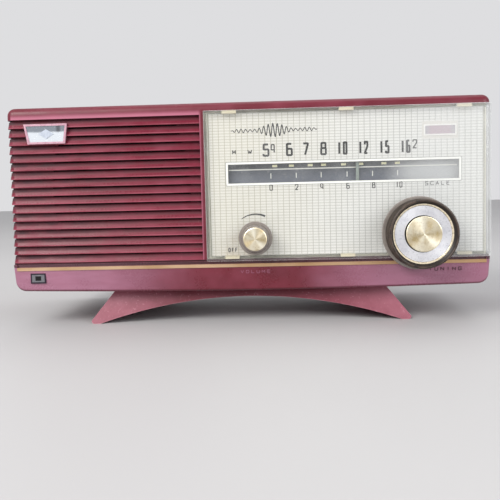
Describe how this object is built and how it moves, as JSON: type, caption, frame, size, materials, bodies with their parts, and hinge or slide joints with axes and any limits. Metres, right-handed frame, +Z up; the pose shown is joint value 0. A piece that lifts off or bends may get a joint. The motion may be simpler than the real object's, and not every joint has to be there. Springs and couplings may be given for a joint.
{
  "type": "tabletop radio",
  "caption": "Low wide valve radio in moulded plastic: louvred speaker grille at the left, lensed tuning dial with two knobs at the right, on a bowed stand.",
  "frame": {"origin": "centre of the part's box at its lowest face, on the surface that it stands on", "axes": "+Z up, the dial and grille face -Y, +X to the right as seen from the front"},
  "size_m": [0.37, 0.152, 0.171],
  "materials": {
    "cabinet_plastic": "moulded, polished, lightly scratched",
    "stand_plastic": "moulded, satin",
    "clear_lens": "clear moulded acrylic",
    "dial_print": "cream with a fine printed grid",
    "dial_grey": "slate grey paint",
    "gold_anodised": "brushed, gold anodised",
    "badge_rim": "moulded rim",
    "badge_mirror": "bright plated",
    "dark_metal": "black filled",
    "knob_brown": "moulded, knurled",
    "smoke_plastic": "smoky translucent",
    "knob_cream": "cream ring",
    "spun_brass": "spun, clear lacquered",
    "spun_silver": "spun",
    "pink_window": "tinted translucent",
    "indicator_rim": "pale rim",
    "pointer_pale": "pale strip",
    "grille_cloth": "plain weave",
    "baffle_board": "hardboard",
    "speaker_steel": "painted pressing",
    "magnet": "plated",
    "cone_paper": "pressed paper",
    "surround_cloth": "doped cloth",
    "zinc_steel": "zinc plated",
    "screw_steel": "plated",
    "valve_glass": "clear with a silvered top",
    "phenolic": "brown moulding",
    "can_aluminium": "drawn can",
    "transformer_iron": "varnished laminations",
    "ferrite": "sintered rod",
    "nylon_white": "moulded",
    "cord_textile": "braided",
    "spring_steel": "plain",
    "brass_plain": "turned",
    "lamp_glass": "clear bulb",
    "board_brown": "paxolin",
    "cover_board": "perforated hardboard",
    "rubber_black": "moulded"
  },
  "bodies": {
    "cabinet": {"base_tray": "cabinet_plastic", "cabinet_shell": "cabinet_plastic", "louvre_grille": "cabinet_plastic", "case_screws": "screw_steel", "gold_trim": "gold_anodised", "corner_plate": "dark_metal", "badge_frame": "badge_rim", "badge_mirror": "badge_mirror", "badge_emblem": "badge_rim", "speaker_cloth": "grille_cloth", "speaker_baffle": "baffle_board", "baffle_screws": "screw_steel", "speaker_frame": "speaker_steel", "speaker_surround": "surround_cloth", "speaker_magnet": "magnet", "dial_panel": "dial_print", "indicator_frame": "indicator_rim", "indicator_window": "pink_window", "dial_screws": "screw_steel", "dial_lens": "clear_lens", "dial_backplate": "dial_grey", "pointer_rail": "spring_steel", "dial_cord": "cord_textile", "tuning_bush": "brass_plain", "bush_nuts": "zinc_steel", "volume_control": "zinc_steel", "chassis": "zinc_steel", "chassis_screws": "screw_steel", "tube_sockets": "phenolic", "tubes": "valve_glass", "capacitor_frame": "can_aluminium", "capacitor_stator": "can_aluminium", "if_transformers": "can_aluminium", "output_transformer": "transformer_iron", "filter_capacitor": "can_aluminium", "ferrite_antenna": "ferrite", "antenna_brackets": "nylon_white", "pilot_lamp": "lamp_glass", "wiring_board": "board_brown", "rear_cover": "cover_board", "rear_cover_screws": "screw_steel", "antenna_terminal": "phenolic", "cord_grommet": "rubber_black", "stand": "stand_plastic", "stand_screws": "screw_steel"},
    "tuning": {"tuning_knob": "knob_brown", "tuning_knob_skirt": "smoke_plastic", "tuning_knob_bezel": "knob_cream", "tuning_knob_ring": "spun_silver", "tuning_knob_cap": "spun_brass", "tuning_shaft": "brass_plain"},
    "volume": {"volume_knob": "smoke_plastic", "volume_knob_cap": "spun_brass", "volume_shaft": "brass_plain"},
    "drum": {"drive_drum": "nylon_white", "drum_spring": "spring_steel", "capacitor_rotor": "can_aluminium"},
    "idler": {"idler_pulley": "nylon_white"},
    "needle": {"pointer": "pointer_pale"},
    "cone": {"speaker_cone": "cone_paper"}
  },
  "joints": [
    {"name": "tuning_turn", "type": "hinge", "parent": "cabinet", "child": "tuning", "pos_m": [0.129, -0.054, 0.0683], "axis": [0, 1, 0], "range_deg": [-1096.38, 510.21]},
    {"name": "pointer_slide", "type": "slide", "parent": "cabinet", "child": "needle", "axis": [1, 0, 0], "range_m": [-0.0664, 0.0309]},
    {"name": "drum_turn", "type": "hinge", "parent": "cabinet", "child": "drum", "pos_m": [0.145, -0.054, 0.105], "axis": [0, 1, 0], "range_deg": [-122.84, 57.16]},
    {"name": "idler_spin", "type": "hinge", "parent": "cabinet", "child": "idler", "pos_m": [0.008, -0.054, 0.13097], "axis": [0, 1, 0], "range_deg": [-760.89, 354.09]},
    {"name": "volume_turn", "type": "hinge", "parent": "cabinet", "child": "volume", "pos_m": [0.0064, -0.054, 0.0668], "axis": [0, 1, 0], "range_deg": [0, 300]},
    {"name": "cone_slide", "type": "slide", "parent": "cabinet", "child": "cone", "axis": [0, 1, 0], "range_m": [-0.001, 0.001], "stiffness_N_per_m": 300}
  ],
  "couplings": [
    {"joint": "pointer_slide", "follows": "tuning_turn", "m_per_rad": 0.00347},
    {"joint": "drum_turn", "follows": "tuning_turn", "ratio": 0.11204},
    {"joint": "idler_spin", "follows": "tuning_turn", "ratio": 0.694}
  ]
}
